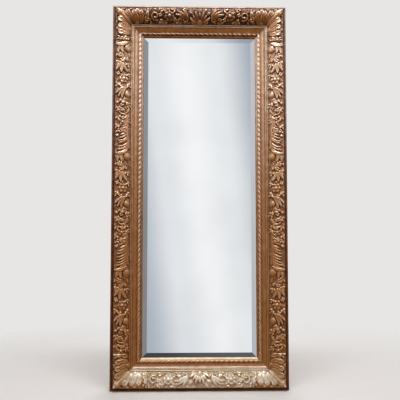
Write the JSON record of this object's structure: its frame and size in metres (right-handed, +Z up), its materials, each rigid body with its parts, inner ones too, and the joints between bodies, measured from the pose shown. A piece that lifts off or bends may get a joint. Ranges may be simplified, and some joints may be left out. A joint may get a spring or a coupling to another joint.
{
  "type": "framed mirror",
  "caption": "Tall wall mirror: bevelled glass in a deep mitred gilt moulding with cast acanthus ornament and a rope sight edge, held by turn buttons and hung from D rings.",
  "frame": {"origin": "middle of the mirror in the wall plane, where the backs of the bumpers lie", "axes": "+Z up along the long side, +Y into the wall, +X to the right as seen from the front; the glass faces -Y"},
  "size_m": [0.758, 0.0666, 1.658],
  "materials": {
    "gilded_wood": "antique copper-gold leaf over gesso on softwood, satin, dark in the recesses",
    "gilded_cast": "cast composition with the same copper-gold leaf, rubbed bright on the high spots",
    "mirror": "silvered glass, polished bevel",
    "hardboard": "bare brown hardboard",
    "brass": "stamped brass, lightly tarnished",
    "plated_steel": "zinc-plated steel",
    "blued_steel": "blued spring steel",
    "packer_rubber": "black rubber strip",
    "bumper_rubber": "moulded dark rubber, matt"
  },
  "bodies": {
    "frame": {"backing_board": "hardboard", "corner_leaf_bottom_left": "gilded_cast", "corner_leaf_bottom_right": "gilded_cast", "corner_leaf_top_left": "gilded_cast", "corner_leaf_top_right": "gilded_cast", "garland_bottom": "gilded_cast", "garland_left_lower": "gilded_cast", "garland_left_middle": "gilded_cast", "garland_left_upper": "gilded_cast", "garland_right_lower": "gilded_cast", "garland_right_middle": "gilded_cast", "garland_right_upper": "gilded_cast", "garland_top": "gilded_cast", "glass_packers": "packer_rubber", "hanger_screws": "plated_steel", "hanger_strap_left": "plated_steel", "hanger_strap_right": "plated_steel", "mirror_glass": "mirror", "mitre_wedges": "blued_steel", "rail_bottom": "gilded_wood", "rail_left": "gilded_wood", "rail_right": "gilded_wood", "rail_top": "gilded_wood", "rope_strip_bottom": "gilded_cast", "rope_strip_left": "gilded_cast", "rope_strip_right": "gilded_cast", "rope_strip_top": "gilded_cast", "turn_button_screws": "brass", "wall_bumpers": "bumper_rubber"},
    "turn_button_bottom_1": {"turn_button_bottom_1": "brass"},
    "turn_button_bottom_2": {"turn_button_bottom_2": "brass"},
    "turn_button_left_1": {"turn_button_left_1": "brass"},
    "turn_button_left_2": {"turn_button_left_2": "brass"},
    "turn_button_left_3": {"turn_button_left_3": "brass"},
    "turn_button_left_4": {"turn_button_left_4": "brass"},
    "turn_button_right_1": {"turn_button_right_1": "brass"},
    "turn_button_right_2": {"turn_button_right_2": "brass"},
    "turn_button_right_3": {"turn_button_right_3": "brass"},
    "turn_button_right_4": {"turn_button_right_4": "brass"},
    "turn_button_top_1": {"turn_button_top_1": "brass"},
    "turn_button_top_2": {"turn_button_top_2": "brass"},
    "hanger_ring_left": {"hanger_ring_left": "plated_steel"},
    "hanger_ring_right": {"hanger_ring_right": "plated_steel"}
  },
  "joints": [
    {"name": "turn_button_bottom_1_turn", "type": "hinge", "parent": "frame", "child": "turn_button_bottom_1", "pos_m": [-0.123, -0.008, -0.716], "axis": [0, 1, 0], "continuous": true},
    {"name": "turn_button_bottom_2_turn", "type": "hinge", "parent": "frame", "child": "turn_button_bottom_2", "pos_m": [0.123, -0.008, -0.716], "axis": [0, 1, 0], "continuous": true},
    {"name": "turn_button_left_1_turn", "type": "hinge", "parent": "frame", "child": "turn_button_left_1", "pos_m": [-0.266, -0.008, -0.522], "axis": [0, 1, 0], "continuous": true},
    {"name": "turn_button_left_2_turn", "type": "hinge", "parent": "frame", "child": "turn_button_left_2", "pos_m": [-0.266, -0.008, -0.174], "axis": [0, 1, 0], "continuous": true},
    {"name": "turn_button_left_3_turn", "type": "hinge", "parent": "frame", "child": "turn_button_left_3", "pos_m": [-0.266, -0.008, 0.174], "axis": [0, 1, 0], "continuous": true},
    {"name": "turn_button_left_4_turn", "type": "hinge", "parent": "frame", "child": "turn_button_left_4", "pos_m": [-0.266, -0.008, 0.522], "axis": [0, 1, 0], "continuous": true},
    {"name": "turn_button_right_1_turn", "type": "hinge", "parent": "frame", "child": "turn_button_right_1", "pos_m": [0.266, -0.008, -0.522], "axis": [0, 1, 0], "continuous": true},
    {"name": "turn_button_right_2_turn", "type": "hinge", "parent": "frame", "child": "turn_button_right_2", "pos_m": [0.266, -0.008, -0.174], "axis": [0, 1, 0], "continuous": true},
    {"name": "turn_button_right_3_turn", "type": "hinge", "parent": "frame", "child": "turn_button_right_3", "pos_m": [0.266, -0.008, 0.174], "axis": [0, 1, 0], "continuous": true},
    {"name": "turn_button_right_4_turn", "type": "hinge", "parent": "frame", "child": "turn_button_right_4", "pos_m": [0.266, -0.008, 0.522], "axis": [0, 1, 0], "continuous": true},
    {"name": "turn_button_top_1_turn", "type": "hinge", "parent": "frame", "child": "turn_button_top_1", "pos_m": [-0.123, -0.008, 0.716], "axis": [0, 1, 0], "continuous": true},
    {"name": "turn_button_top_2_turn", "type": "hinge", "parent": "frame", "child": "turn_button_top_2", "pos_m": [0.123, -0.008, 0.716], "axis": [0, 1, 0], "continuous": true},
    {"name": "hanger_ring_left_swing", "type": "hinge", "parent": "frame", "child": "hanger_ring_left", "pos_m": [-0.314, -0.00432, 0.413], "axis": [1, 0, 0], "range_deg": [0, 180]},
    {"name": "hanger_ring_right_swing", "type": "hinge", "parent": "frame", "child": "hanger_ring_right", "pos_m": [0.314, -0.00432, 0.413], "axis": [1, 0, 0], "range_deg": [0, 180]}
  ]
}
